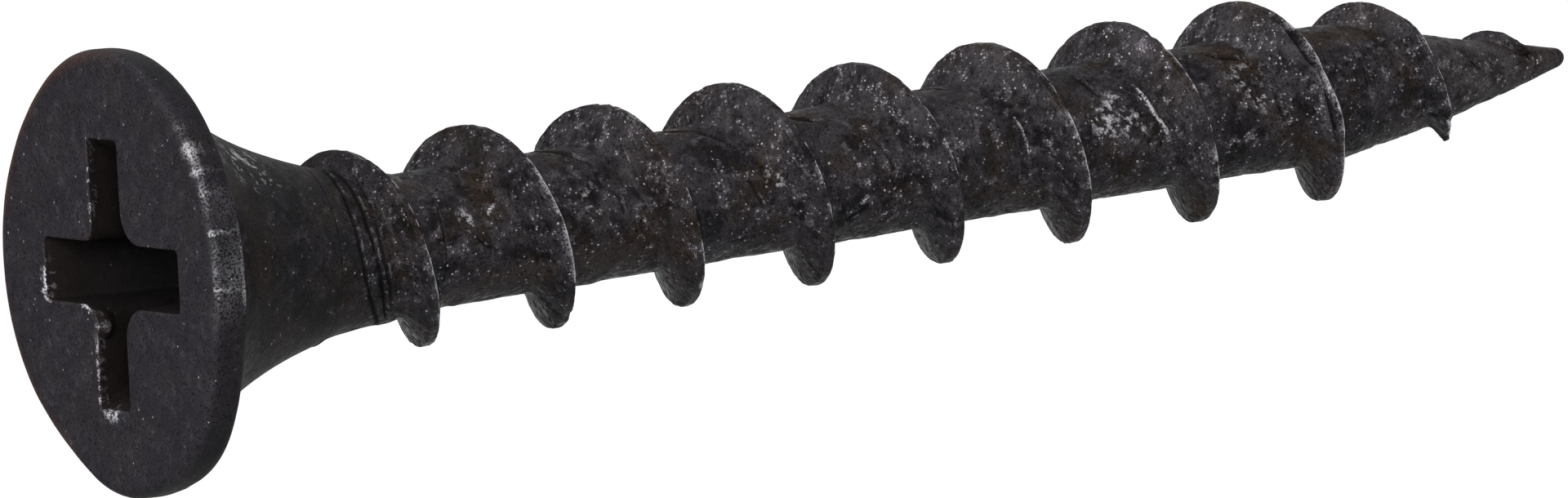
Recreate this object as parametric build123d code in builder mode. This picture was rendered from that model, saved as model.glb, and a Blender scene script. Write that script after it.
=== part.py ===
"""Cross-recessed bugle-head wood screw, 4.0 x 32, coarse single-start thread.

The screw is one forging. It is divided here, at the places a screw drawing
dimensions, into five solids that meet face to face and never overlap:
head, neck, core, thread and point.

Frame: origin at the centre of the head's flat top face, +Z out of the head
towards the driver, shank down -Z to the point. X and Y lie along the two
wings of the cross recess. Depths below are measured down from the head face,
so a depth d is at z = -d. Millimetres throughout.
"""
from build123d import *
from math import cos, pi, radians, sin, sqrt, tan
import os

os.makedirs("parts", exist_ok=True)

# ---------------------------------------------------------------- dimensions
overall_length = 31.75      # head face to the end of the point

# head
head_diameter = 8.30
rim_thickness = 0.72        # straight band round the head, with its rounded edges
rim_top_radius = 0.22       # rolled edge between the face and the band
rim_under_radius = 0.16     # rolled edge between the band and the ledge under it
ledge_radius = 3.45         # the short steep ledge under the rim ends at this radius
ledge_depth = 1.05          # and this depth, where the bugle flare begins
head_depth = 4.00           # the head solid ends here, where the flare has closed in

# neck, plain
neck_diameter = 2.84
flare_end = 6.00            # depth where the bugle flare runs into the neck
neck_end = 6.05             # depth where the full neck diameter ends
neck_step = 0.35            # length of the short cone from the neck to the core

# thread
core_diameter = 2.55
thread_diameter = 4.00
pitch = 2.80
crest_half_width = 0.12
flank_angle = 26.0          # each side, from the plane square to the axis
crest_depth_at_x = 4.9456   # a crest crosses the +X side at this depth
thread_top = 4.15           # the ridge leaves the neck's surface at this depth
runout_end = 5.60           # crest reaches full diameter here
crest_taper_start = 26.20   # crest starts to close in towards the point
thread_bottom = 30.40       # the ridge dies on the point at this depth
runout_height = 0.07        # height of the ridge where it starts and ends
end_half_width = 0.06       # half width of its crest there

# point
point_start = 26.50
tip_diameter = 0.14         # the pinched end isn't a true needle

# cross recess, size 2
recess_span = 5.00          # across two opposite wings, at the face
recess_wing = 1.16          # width of a wing, at the face
recess_floor_span = 2.29
recess_floor_wing = 0.92
recess_depth = 2.72         # depth of the wings' sloping outer edges
recess_core_diameter = 2.30 # round well between the wings, at the face
recess_floor_core = 1.20
recess_cone = 0.38          # shallow cone below the wings

# ------------------------------------------------------------ derived values
head_r = head_diameter / 2
neck_r = neck_diameter / 2
core_r = core_diameter / 2
tip_r = tip_diameter / 2
crest_r = thread_diameter / 2

# The flare is one arc, tangent to the neck at flare_end, that starts from the
# foot of the ledge under the rim.
rise = ledge_radius - neck_r
run = flare_end - ledge_depth
flare_radius = (rise ** 2 + run ** 2) / (2 * rise)


def flare_at(depth):
    """Radius of the bugle flare at a depth."""
    d = flare_end - depth
    return neck_r + flare_radius - sqrt(flare_radius ** 2 - d ** 2)


def shank_at(depth):
    """Radius of the plain body under the thread at a depth."""
    if depth < flare_end:
        return flare_at(depth)
    if depth < neck_end:
        return neck_r
    if depth < neck_end + neck_step:
        return neck_r + (core_r - neck_r) * (depth - neck_end) / neck_step
    if depth < point_start:
        return core_r
    f = min(1.0, (depth - point_start) / (overall_length - point_start))
    return core_r + (tip_r - core_r) * f


def crest_at(depth):
    """Radius of the thread's crest at a depth, with its two run-outs."""
    if depth < runout_end:
        f = max(0.0, (depth - thread_top) / (runout_end - thread_top))
        first = shank_at(thread_top) + runout_height
        return first + (crest_r - first) * f
    if depth < crest_taper_start:
        return crest_r
    last = shank_at(thread_bottom) + runout_height
    f = min(1.0, (depth - crest_taper_start) / (thread_bottom - crest_taper_start))
    return crest_r + (last - crest_r) * f


# -------------------------------------------------------------------- head
# Turned blank: flat face, rolled rim, concave bugle flare; then the recess.
with BuildPart() as head:
    with BuildSketch(Plane.XZ):
        with BuildLine():
            Polyline((0, -head_depth), (0, 0), (head_r, 0), (head_r, -rim_thickness),
                     (ledge_radius, -ledge_depth))
            ThreePointArc(
                (ledge_radius, -ledge_depth),
                (flare_at((ledge_depth + head_depth) / 2),
                 -(ledge_depth + head_depth) / 2),
                (flare_at(head_depth), -head_depth))
            Line((flare_at(head_depth), -head_depth), (0, -head_depth))
        make_face()
    revolve(axis=Axis.Z)
    rim_edges = head.edges().filter_by(GeomType.CIRCLE).filter_by(
        lambda e: abs(e.radius - head_r) < 1e-6).sort_by(Axis.Z)
    fillet(rim_edges[-1], radius=rim_top_radius)
    rim_edges = head.edges().filter_by(GeomType.CIRCLE).filter_by(
        lambda e: abs(e.radius - head_r) < 1e-6).sort_by(Axis.Z)
    fillet(rim_edges[0], radius=rim_under_radius)
    # The four wings: two tapered bars crossing on the axis.
    for turn in (0, 90):
        with BuildSketch(Plane.XY.offset(0.05)):
            Rectangle(recess_span + 0.05, recess_wing + 0.005, rotation=turn)
        with BuildSketch(Plane.XY.offset(-recess_depth)):
            Rectangle(recess_floor_span, recess_floor_wing, rotation=turn)
        loft(ruled=True, mode=Mode.SUBTRACT)
    # The round well between them, and the cone at its bottom.
    with BuildSketch(Plane.XZ):
        with BuildLine():
            Polyline((0, 0.05), (recess_core_diameter / 2, 0.05),
                     (recess_floor_core / 2, -recess_depth),
                     (0, -recess_depth - recess_cone), close=True)
        make_face()
    revolve(axis=Axis.Z, mode=Mode.SUBTRACT)
head.part.label = "head"

# -------------------------------------------------------------------- neck
# Plain neck: the last of the flare, the cylinder, and the short cone down
# to the core of the thread.
with BuildPart() as neck:
    with BuildSketch(Plane.XZ):
        with BuildLine():
            Line((0, -head_depth), (flare_at(head_depth), -head_depth))
            ThreePointArc(
                (flare_at(head_depth), -head_depth),
                (flare_at((head_depth + flare_end) / 2),
                 -(head_depth + flare_end) / 2),
                (neck_r, -flare_end))
            Polyline((neck_r, -flare_end), (neck_r, -neck_end),
                     (core_r, -neck_end - neck_step), (0, -neck_end - neck_step),
                     (0, -head_depth))
        make_face()
    revolve(axis=Axis.Z)
neck.part.label = "neck"

# -------------------------------------------------------------------- core
# Root cylinder of the thread.
with BuildPart() as core:
    with BuildSketch(Plane.XY.offset(-point_start)):
        Circle(core_r)
    extrude(amount=point_start - neck_end - neck_step)
core.part.label = "core"

# ------------------------------------------------------------------- point
# Pinched point, a plain cone with a very small blunt end.
with BuildPart() as point:
    with BuildSketch(Plane.XZ):
        with BuildLine():
            Polyline((0, -point_start), (core_r, -point_start),
                     (tip_r, -overall_length), (0, -overall_length), close=True)
        make_face()
    revolve(axis=Axis.Z)
point.part.label = "point"

# ------------------------------------------------------------------ thread
# One right-hand ridge from the neck to the point. Its section is a trapezoid
# whose four corners run along helices of changing radius. The two root
# corners stay on the surface of the plain body at the same bearing, so the
# ridge's inner wall is ruled along the body's own generators and the ridge
# lies on the neck, core and point face to face. It runs out at both ends.
steps_per_part = 12         # points along each half turn, about
parts_count = round((thread_bottom - thread_top) / pitch * 2)
count = steps_per_part * parts_count


def corners_at(depth):
    """The ridge's four corners at a depth: head side root, head side crest,
    tip side crest, tip side root."""
    angle = (crest_depth_at_x - depth) / pitch * 2 * pi
    crest = crest_at(depth)
    height = crest - shank_at(depth)
    half = end_half_width + (crest_half_width - end_half_width) * min(1.0, height / 0.35)
    foot = half + height * tan(radians(flank_angle))
    corners = ((shank_at(depth - foot), foot), (crest, half),
               (crest, -half), (shank_at(depth + foot), -foot))
    return [Vector(r * cos(angle), r * sin(angle), -depth + up) for r, up in corners]


step = (thread_bottom - thread_top) / count
stations = [corners_at(thread_top + step * i) for i in range(-1, count + 2)]

with BuildPart() as thread:
    walls = []
    for part in range(parts_count):
        first = 1 + part * steps_per_part
        last = first + steps_per_part
        rails = []
        for k in range(4):
            with BuildLine() as rail:
                Spline(*[stations[i][k] for i in range(first, last + 1)],
                       tangents=(stations[first + 1][k] - stations[first - 1][k],
                                 stations[last + 1][k] - stations[last - 1][k]))
            rails.append(rail.edges()[0])
        walls += [Face.make_surface_from_curves(rails[k], rails[(k + 1) % 4])
                  for k in range(4)]
    ends = [Face(Wire.make_polygon(stations[i], close=True)) for i in (1, count + 1)]
    add(Solid(Shell(walls + ends)))
thread.part.label = "thread"

# ------------------------------------------------------------------ export
export_step(head.part, "parts/head.step")
export_step(neck.part, "parts/neck.step")
export_step(core.part, "parts/core.step")
export_step(thread.part, "parts/thread.step")
export_step(point.part, "parts/point.step")

print("flare radius", round(flare_radius, 3))
for piece in (head, neck, core, thread, point):
    box = piece.part.bounding_box()
    print(piece.part.label, len(piece.solids()), "solids",
          round(piece.part.volume, 4), "mm3", box.min, box.max)
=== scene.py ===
import math

import bpy
import numpy as np
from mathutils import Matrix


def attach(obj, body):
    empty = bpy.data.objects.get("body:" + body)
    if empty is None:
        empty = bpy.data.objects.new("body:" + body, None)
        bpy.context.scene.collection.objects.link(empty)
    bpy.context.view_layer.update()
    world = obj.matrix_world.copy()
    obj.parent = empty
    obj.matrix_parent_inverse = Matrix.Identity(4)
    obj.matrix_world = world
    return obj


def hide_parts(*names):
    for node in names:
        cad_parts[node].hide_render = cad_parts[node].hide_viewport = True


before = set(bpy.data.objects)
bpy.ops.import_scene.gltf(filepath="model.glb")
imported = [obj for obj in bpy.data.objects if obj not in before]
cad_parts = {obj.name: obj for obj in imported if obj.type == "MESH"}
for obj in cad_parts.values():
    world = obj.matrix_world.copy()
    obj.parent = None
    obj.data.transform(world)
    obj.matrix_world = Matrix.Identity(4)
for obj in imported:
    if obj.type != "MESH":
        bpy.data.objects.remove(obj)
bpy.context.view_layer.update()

# The frame is the CAD's: origin at the centre of the head's flat face, +Z out
# of the head, shank down -Z, X and Y along the recess wings. Sizes below are
# in millimetres, depths are measured down from the head face, and a bearing is
# the angle about Z from +X towards +Y. Meshes are written in metres.
MM = 0.001
DENSITY = 1.0

# ------------------------------------------------------------------ proportions
HEAD_R = 4.155
RIM = 0.72
PITCH = 2.80
CREST_AT_X = 4.9456
CREST_R = 1.98
CORE_R = 1.29
LENGTH = 31.62
SPAN = 2.50
WING = 0.585


def smooth(t):
    t = np.clip(t, 0.0, 1.0)
    return t * t * (3 - 2 * t)


def bump(x, centre, width):
    """1 at the centre, 0 beyond the width."""
    return np.clip(1 - ((x - centre) / width) ** 2, 0, 1) ** 2


def lattice(ix, iy, iz, seed):
    h = (ix * 374761393 + iy * 668265263 + iz * 1274126177 + seed * 974634777) & 0xFFFFFFFF
    h = ((h ^ (h >> 13)) * 1274126177) & 0xFFFFFFFF
    h = ((h ^ (h >> 15)) * 2246822519) & 0xFFFFFFFF
    h = h ^ (h >> 16)
    return (h & 0xFFFFFF) / float(0xFFFFFF) * 2 - 1


def noise(p, cell, seed):
    """Smooth value noise from -1 to 1 at points p (n, 3)."""
    q = p / cell
    i = np.floor(q).astype(np.int64)
    f = q - i
    f = f * f * (3 - 2 * f)
    out = 0.0
    for dx in (0, 1):
        wx = f[:, 0] if dx else 1 - f[:, 0]
        for dy in (0, 1):
            wy = f[:, 1] if dy else 1 - f[:, 1]
            for dz in (0, 1):
                wz = f[:, 2] if dz else 1 - f[:, 2]
                out = out + wx * wy * wz * lattice(i[:, 0] + dx, i[:, 1] + dy, i[:, 2] + dz, seed)
    return out


def fractal(p, cell, seed, octaves=3, gain=0.5):
    total, size = 0.0, 1.0
    for k in range(octaves):
        total = total + size * noise(p, cell / 2 ** k, seed + 17 * k)
        size *= gain
    return total


def pits(p, cell, seed, share=0.5):
    """Round pits, 0 outside and 1 at a pit's middle. About share of the cells hold one."""
    q = p / cell
    i = np.floor(q).astype(np.int64)
    best = np.zeros(len(p))
    for dx in (-1, 0, 1):
        for dy in (-1, 0, 1):
            for dz in (-1, 0, 1):
                a, b, c = i[:, 0] + dx, i[:, 1] + dy, i[:, 2] + dz
                cx = a + 0.5 + 0.45 * lattice(a, b, c, seed)
                cy = b + 0.5 + 0.45 * lattice(a, b, c, seed + 1)
                cz = c + 0.5 + 0.45 * lattice(a, b, c, seed + 2)
                size = 0.28 + 0.3 * np.abs(lattice(a, b, c, seed + 3))
                live = lattice(a, b, c, seed + 4) < 2 * share - 1
                d = np.sqrt((q[:, 0] - cx) ** 2 + (q[:, 1] - cy) ** 2 + (q[:, 2] - cz) ** 2)
                best = np.maximum(best, np.where(live, np.clip(1 - (d / size) ** 2, 0, 1), 0))
    return best


# ------------------------------------------------------- the screw's slight bend
# The head leans a little on the shank, as cold-headed screws do: the axis turns
# by 3 degrees between these two depths, towards the head.
BEND_FROM, BEND_TO = 3.4, 7.16
LEAN = np.array([-0.0526, -0.0028])
_d = np.linspace(-1.0, 33.0, 3401)
_tau = 1 - smooth((_d - BEND_FROM) / (BEND_TO - BEND_FROM))
_int = np.concatenate([[0], np.cumsum((_tau[1:] + _tau[:-1]) / 2 * np.diff(_d))])
_int = _int[-1] - _int


def place(depth, bearing, radius):
    """Points in mm from depth, bearing in radians and radius, on the leaning axis."""
    tau, gone = np.interp(depth, _d, _tau), np.interp(depth, _d, _int)
    c, s = np.cos(bearing), np.sin(bearing)
    x = radius * c - gone * LEAN[0] - 0.012 * smooth((depth - 4) / 3) - 0.030 * smooth((depth - 26.5) / 4)
    y = radius * s - gone * LEAN[1]
    z = -depth + radius * tau * (LEAN[0] * c + LEAN[1] * s)
    return np.stack([x, y, z], axis=-1)


# --------------------------------------------------------------- the plain body
def flare(depth):
    t = np.clip((depth - RIM) / (5.30 - RIM), 0, 1)
    r = 1.443 + (HEAD_R - 0.07 - 1.443) * (1 - np.sqrt(np.clip(1 - (1 - t) ** 2, 0, 1))) ** 0.733
    return r


def body_radius(depth):
    r = flare(depth)
    r = np.where(depth > 5.30, 1.443 + (CORE_R - 1.443) * smooth((depth - 5.5) / 0.7), r)
    t = np.clip((depth - 26.45) / (LENGTH - 26.45), 0, 1)
    r = np.where(depth > 26.45, CORE_R * (1 - t) + 0.150 * t, r)
    # rounded, slightly blunt end
    end = np.clip((LENGTH - depth) / 0.17, 0, 1)
    return r * np.where(depth > LENGTH - 0.17, np.sqrt(np.clip(1 - (1 - end) ** 2, 0, 1)), 1.0)


def crest_radius(depth):
    r = np.where(depth < 6.83, CREST_R - (6.83 - depth) * 0.058, CREST_R)
    start = body_radius(depth)
    r = start + (r - start) * smooth((depth - 3.95) / 0.95)
    return np.where(depth > 26.1, CREST_R + (0.42 - CREST_R) * (depth - 26.1) / (30.95 - 26.1), r)


def offset_from_crest(depth, bearing):
    """Axial distance in mm to the nearest crest line; positive is the point side."""
    n = (depth - CREST_AT_X) / PITCH + bearing / (2 * math.pi)
    return (n - np.round(n)) * PITCH


def deg(x):
    return x * math.pi / 180


def turn_gap(bearing, centre_deg):
    """Signed difference of bearings in radians, wrapped."""
    d = bearing - deg(centre_deg)
    return (d + math.pi) % (2 * math.pi) - math.pi


def line_field(depth, bearing, points, width, radius=1.3):
    """1 on a polyline of (depth, bearing in degrees), 0 beyond width mm from it."""
    best = np.full(depth.shape, 1e9)
    fade = np.zeros(depth.shape)
    n = len(points) - 1
    for k in range(n):
        (d0, b0), (d1, b1) = points[k], points[k + 1]
        px, py = depth - d0, turn_gap(bearing, b0) * radius
        vx, vy = d1 - d0, deg(b1 - b0) * radius
        t = np.clip((px * vx + py * vy) / (vx * vx + vy * vy), 0, 1)
        d = np.hypot(px - t * vx, py - t * vy)
        along = (k + t) / n
        near = d < best
        best = np.where(near, d, best)
        fade = np.where(near, np.clip(np.minimum(along, 1 - along) * 6, 0.25, 1), fade)
    return np.clip(1 - best / (width * fade), 0, 1)


def spot(depth, bearing, d0, b0, size, radius=1.3):
    px, py = depth - d0, turn_gap(bearing, b0) * radius
    return np.clip(1 - (px * px + py * py) / (size * size), 0, 1) ** 1.5


# Lap marks, cracks and dents in the root surface, each a short line of
# (depth, bearing) with its width and how deep it is pressed in.
LAPS = [
    ([(4.62, 22), (4.50, 2), (4.41, -35), (4.40, -62), (4.44, -84), (4.56, -104), (4.74, -122), (5.02, -142), (5.26, -160), (5.40, -176)], 0.055, 0.050),
    ([(4.78, 8), (4.72, -18), (4.70, -45), (4.72, -70), (4.82, -92), (4.98, -115), (5.16, -135), (5.36, -155)], 0.060, 0.062),
    ([(4.92, -58), (4.93, -80), (5.02, -98), (5.18, -120), (5.34, -140)], 0.040, 0.040),
    ([(5.00, -10), (4.93, -34), (4.92, -58)], 0.035, 0.018),
    ([(9.12, 7), (9.30, -3), (9.42, -10), (9.52, -16), (9.64, -24), (9.76, -31), (9.88, -42)], 0.105, 0.150),
    ([(11.84, -4), (12.05, -10), (12.38, -16), (12.68, -31), (12.90, -46)], 0.085, 0.120),
    ([(14.40, -16), (14.60, -24), (14.84, -32)], 0.070, 0.080),
    ([(17.35, 12), (17.62, -2), (17.90, -12)], 0.050, 0.070),
    ([(20.45, -30), (20.55, -38), (20.68, -50), (20.80, -56)], 0.050, 0.085),
    ([(6.24, -85), (6.50, -86), (6.86, -84)], 0.045, 0.050),
    ([(7.05, -88), (7.22, -96), (7.50, -101)], 0.038, 0.030),
    ([(10.0, -66), (10.15, -74), (10.22, -90)], 0.040, 0.030),
    ([(15.05, -128), (15.25, -121), (15.47, -113)], 0.045, 0.050),
    ([(12.90, -74), (13.02, -88), (13.20, -104)], 0.040, 0.038),
    ([(15.75, -60), (15.95, -76), (16.05, -92)], 0.036, 0.036),
    ([(23.35, -22), (23.60, -31), (23.85, -34), (24.05, -38)], 0.085, 0.120),
    ([(24.45, -74), (24.50, -90), (24.62, -104)], 0.050, 0.045),
    ([(29.18, -66), (29.30, -76), (29.40, -86)], 0.050, 0.085),
    ([(30.55, -50), (30.64, -62), (30.70, -80)], 0.060, 0.050),
    # the far side, not seen by the main camera
    ([(8.2, 150), (8.5, 138), (8.8, 120)], 0.045, 0.045),
    ([(14.1, 120), (14.4, 104), (14.6, 92)], 0.045, 0.040),
    ([(19.7, 160), (19.9, 145), (20.0, 126)], 0.045, 0.045),
    ([(25.3, 110), (25.5, 96), (25.8, 80)], 0.045, 0.040),
]
# Small raised folds of metal beside the laps, with thin worn tops.
FOLDS = [
    ([(18.80, -58), (18.90, -72), (18.96, -88), (18.98, -96)], 0.055, 0.020, 0.55),
    ([(21.52, -48), (21.66, -62), (21.78, -78), (21.95, -90), (22.02, -99)], 0.060, 0.034, 0.85),
    ([(7.36, -71), (7.44, -67), (7.58, -62)], 0.045, 0.035, 1.0),
    ([(15.30, -112), (15.38, -109), (15.44, -106)], 0.055, 0.035, 1.0),
    ([(4.60, -60), (4.62, -84), (4.76, -106), (4.96, -128)], 0.075, 0.022, 0.06),
]


def body_marks(depth, bearing, points):
    """Displacement of the body's surface in mm, its wear from 0 to 1, and its darkening from 0 to 1: painted
    shade along the laps and dark specks in the knocked patches.
    """
    p = points
    root = smooth((depth - 6.0) / 1.0) * (1 - smooth((depth - 30.2) / 1.2))
    neck = 1 - smooth((depth - 4.3) / 0.8)
    d = 0.010 * fractal(p, 1.1, 3, 2) * (0.5 + root)
    rough = 0.5 + 0.5 * noise(p, 1.6, 91)
    d = d + root * 0.0120 * fractal(p, 0.30, 7, 3, 0.62) * (0.5 + 0.9 * rough)
    d = d - root * 0.026 * pits(p, 0.34, 11, 0.30) * (0.3 + rough)
    d = d - root * 0.018 * pits(p, 0.17, 23, 0.34)
    d = d + neck * 0.0022 * fractal(p, 0.30, 31, 2)
    dark, wear_and_highlight = np.zeros(depth.shape), np.zeros(depth.shape)
    for line, width, deep in LAPS:
        f = line_field(depth, bearing, line, width)
        ragged = 0.75 + 0.5 * noise(p, 0.12, 57)
        d = d - deep * smooth(f) * ragged
        # painted shade: each lap is darkened along its groove
        dark = np.maximum(dark, f ** 0.6)
        lip = line_field(depth - 0.07, bearing, line, width * 1.2)
        d = d + 0.010 * lip
        wear_and_highlight = np.maximum(wear_and_highlight, 0.25 * lip * (noise(p, 0.10, 61) > 0.1))
    for line, width, high, rub in FOLDS:
        f = line_field(depth, bearing, line, width)
        d = d + high * smooth(f)
        wear_and_highlight = np.maximum(wear_and_highlight, rub * f ** 1.5)
    # knocked and pitted patches
    for d0, b0, size, deep in ((20.75, -76, 0.55, 0.030), (21.35, -84, 0.42, 0.026), (20.95, -62, 0.35, 0.020),
                               (23.9, -58, 0.60, 0.022), (24.2, -78, 0.45, 0.022), (9.6, -72, 0.45, 0.020),
                               (6.9, -72, 0.40, 0.018), (13.6, -80, 0.50, 0.018), (12.4, 160, 0.6, 0.022), (17.0, 110, 0.5, 0.022)):
        f = spot(depth, bearing, d0, b0, size)
        d = d - deep * f * (0.5 + 0.9 * np.abs(fractal(p, 0.16, 71, 2)))
        wear_and_highlight = np.maximum(wear_and_highlight, (0.62 if 20.5 < d0 < 21.5 else 0.42) * f * (fractal(p, 0.09, 77, 2) > (0.05 if 20.5 < d0 < 21.5 else 0.25)))
        dark = np.maximum(dark, 0.5 * f * (fractal(p, 0.11, 79, 2) < -0.45))
    # flats and bumps along the underside of the first roots, and the neck's kink
    d = d + 0.035 * spot(depth, bearing, 7.05, -160, 0.30) - 0.020 * spot(depth, bearing, 7.55, -160, 0.30)
    d = d + 0.030 * spot(depth, bearing, 9.75, -163, 0.35) - 0.030 * spot(depth, bearing, 10.35, -160, 0.40)
    d = d + 0.030 * spot(depth, bearing, 3.85, -163, 0.34) - 0.035 * spot(depth, bearing, 4.45, -160, 0.42)
    d = d + 0.07 * bump(depth, 29.2, 2.6) * np.clip(-np.cos(bearing), 0, 1)
    d = d - 0.020 * spot(depth, bearing, 31.2, -60, 0.30) + 0.030 * spot(depth, bearing, 31.0, -110, 0.28)
    return d, wear_and_highlight, dark


# ---------------------------------------------------------------- mesh builders
def make_mesh(name, verts_mm, quads, attributes, smooth_faces=True):
    me = bpy.data.meshes.new(name)
    me.vertices.add(len(verts_mm))
    me.vertices.foreach_set("co", (verts_mm * MM).astype(np.float32).ravel())
    loops = np.concatenate([q.ravel() for q in quads]).astype(np.int32)
    sizes = np.concatenate([np.full(len(q), q.shape[1]) for q in quads])
    me.loops.add(len(loops))
    me.loops.foreach_set("vertex_index", loops)
    me.polygons.add(len(sizes))
    me.polygons.foreach_set("loop_start", np.concatenate([[0], np.cumsum(sizes)[:-1]]).astype(np.int32))
    me.polygons.foreach_set("loop_total", sizes.astype(np.int32))
    me.update(calc_edges=True)
    me.validate()
    for key, values in attributes.items():
        a = me.attributes.new(key, "FLOAT", "POINT")
        a.data.foreach_set("value", np.asarray(values, np.float32))
    me.polygons.foreach_set("use_smooth", np.ones(len(me.polygons), bool))
    ob = bpy.data.objects.new(name, me)
    bpy.context.scene.collection.objects.link(ob)
    return ob


def grid_faces(rows, cols, start=0, wrap=True):
    r = np.arange(rows - 1)[:, None]
    c = np.arange(cols if wrap else cols - 1)[None, :]
    n = (c + 1) % cols
    return np.stack([start + r * cols + c, start + r * cols + n,
                     start + (r + 1) * cols + n, start + (r + 1) * cols + c], axis=-1).reshape(-1, 4)


def cap(ring, centre, flip):
    a = ring
    b = np.roll(ring, -1)
    c = np.full(len(ring), centre)
    return np.stack([b, a, c] if flip else [a, b, c], axis=-1)


def surface_of_depth(name, depths, columns, closing=True):
    """A closed piece of the plain body between two depths, with its marks."""
    th = np.linspace(0, 2 * math.pi, columns, endpoint=False)
    D, T = np.meshgrid(depths, th, indexing="ij")
    d, t = D.ravel(), T.ravel()
    r = body_radius(d)
    p = place(d, t, r)
    push, wear_and_highlight, dark = body_marks(d, t, p)
    # the marks die out over the last of the point
    push = push * np.clip(r / 0.25, 0, 1)
    verts = place(d, t, np.maximum(r + push, 0.004))
    rows = len(depths)
    top = place(np.array([depths[0]]), np.array([0.0]), np.array([0.0]))
    end = place(np.array([depths[-1]]), np.array([0.0]), np.array([0.0]))
    n = len(verts)
    verts = np.concatenate([verts, top, end])
    faces = [grid_faces(rows, columns)[:, ::-1],
             cap(np.arange(columns), n, False)[:, ::-1], cap(np.arange(n - columns, n), n + 1, True)[:, ::-1]]
    pad = np.zeros(2)
    # painted shade: the root tops, about bearing -4, get fewer pale specks and more brown
    ob = make_mesh(name, verts, faces, {"wear_and_highlight": np.concatenate([wear_and_highlight, pad]), "dark": np.concatenate([dark, pad]),
                                        "crest": np.zeros(n + 2),
                                        "painted_light_side": np.concatenate([-1.1 * smooth((np.cos(t + deg(4)) - 0.50) / 0.30), pad])})
    return ob


# ------------------------------------------------------------------ the head
def cross_outline(spans, b, corner, inner, n):
    """n points round the recess: how far each wing reaches, half wing width b, rounded
    wing ends of radius corner, and for each of the four inner corners a fillet radius."""
    ring = []
    for k in range(4):
        rho = inner[k]
        a, far = spans[k], spans[(k + 1) % 4]
        pts = [(a, 0.0), (a, b - corner)]
        for j in range(1, 6):
            g = math.pi / 2 * j / 6
            pts.append((a - corner + corner * math.cos(g), b - corner + corner * math.sin(g)))
        pts.append((a - corner, b))
        for j in range(0, 11):
            g = math.pi / 2 * j / 10
            pts.append((b + rho - rho * math.sin(g), b + rho - rho * math.cos(g)))
        pts.append((b, far - corner))
        for j in range(1, 6):
            g = math.pi / 2 * j / 6
            pts.append((b - corner + corner * math.cos(g), far - corner + corner * math.sin(g)))
        pts.append((b - corner, far))
        c, s = [(1, 0), (0, 1), (-1, 0), (0, -1)][k]
        ring += [(x * c - y * s, x * s + y * c) for x, y in pts]
    pts = np.array(ring + ring[:1])
    # even spacing by the share of length inside each quadrant, so that every
    # depth's ring keeps the same corners under one another
    per = n // 4
    out = []
    q = len(ring) // 4
    for k in range(4):
        seg = pts[k * q:(k + 1) * q + 1]
        # drop repeats
        keep = np.concatenate([[True], np.hypot(*np.diff(seg, axis=0).T) > 1e-9])
        seg = seg[keep]
        ln = np.concatenate([[0], np.cumsum(np.hypot(*np.diff(seg, axis=0).T))])
        want = np.linspace(0, ln[-1], per, endpoint=False)
        out.append(np.stack([np.interp(want, ln, seg[:, 0]), np.interp(want, ln, seg[:, 1])], -1))
    return np.concatenate(out)


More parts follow.
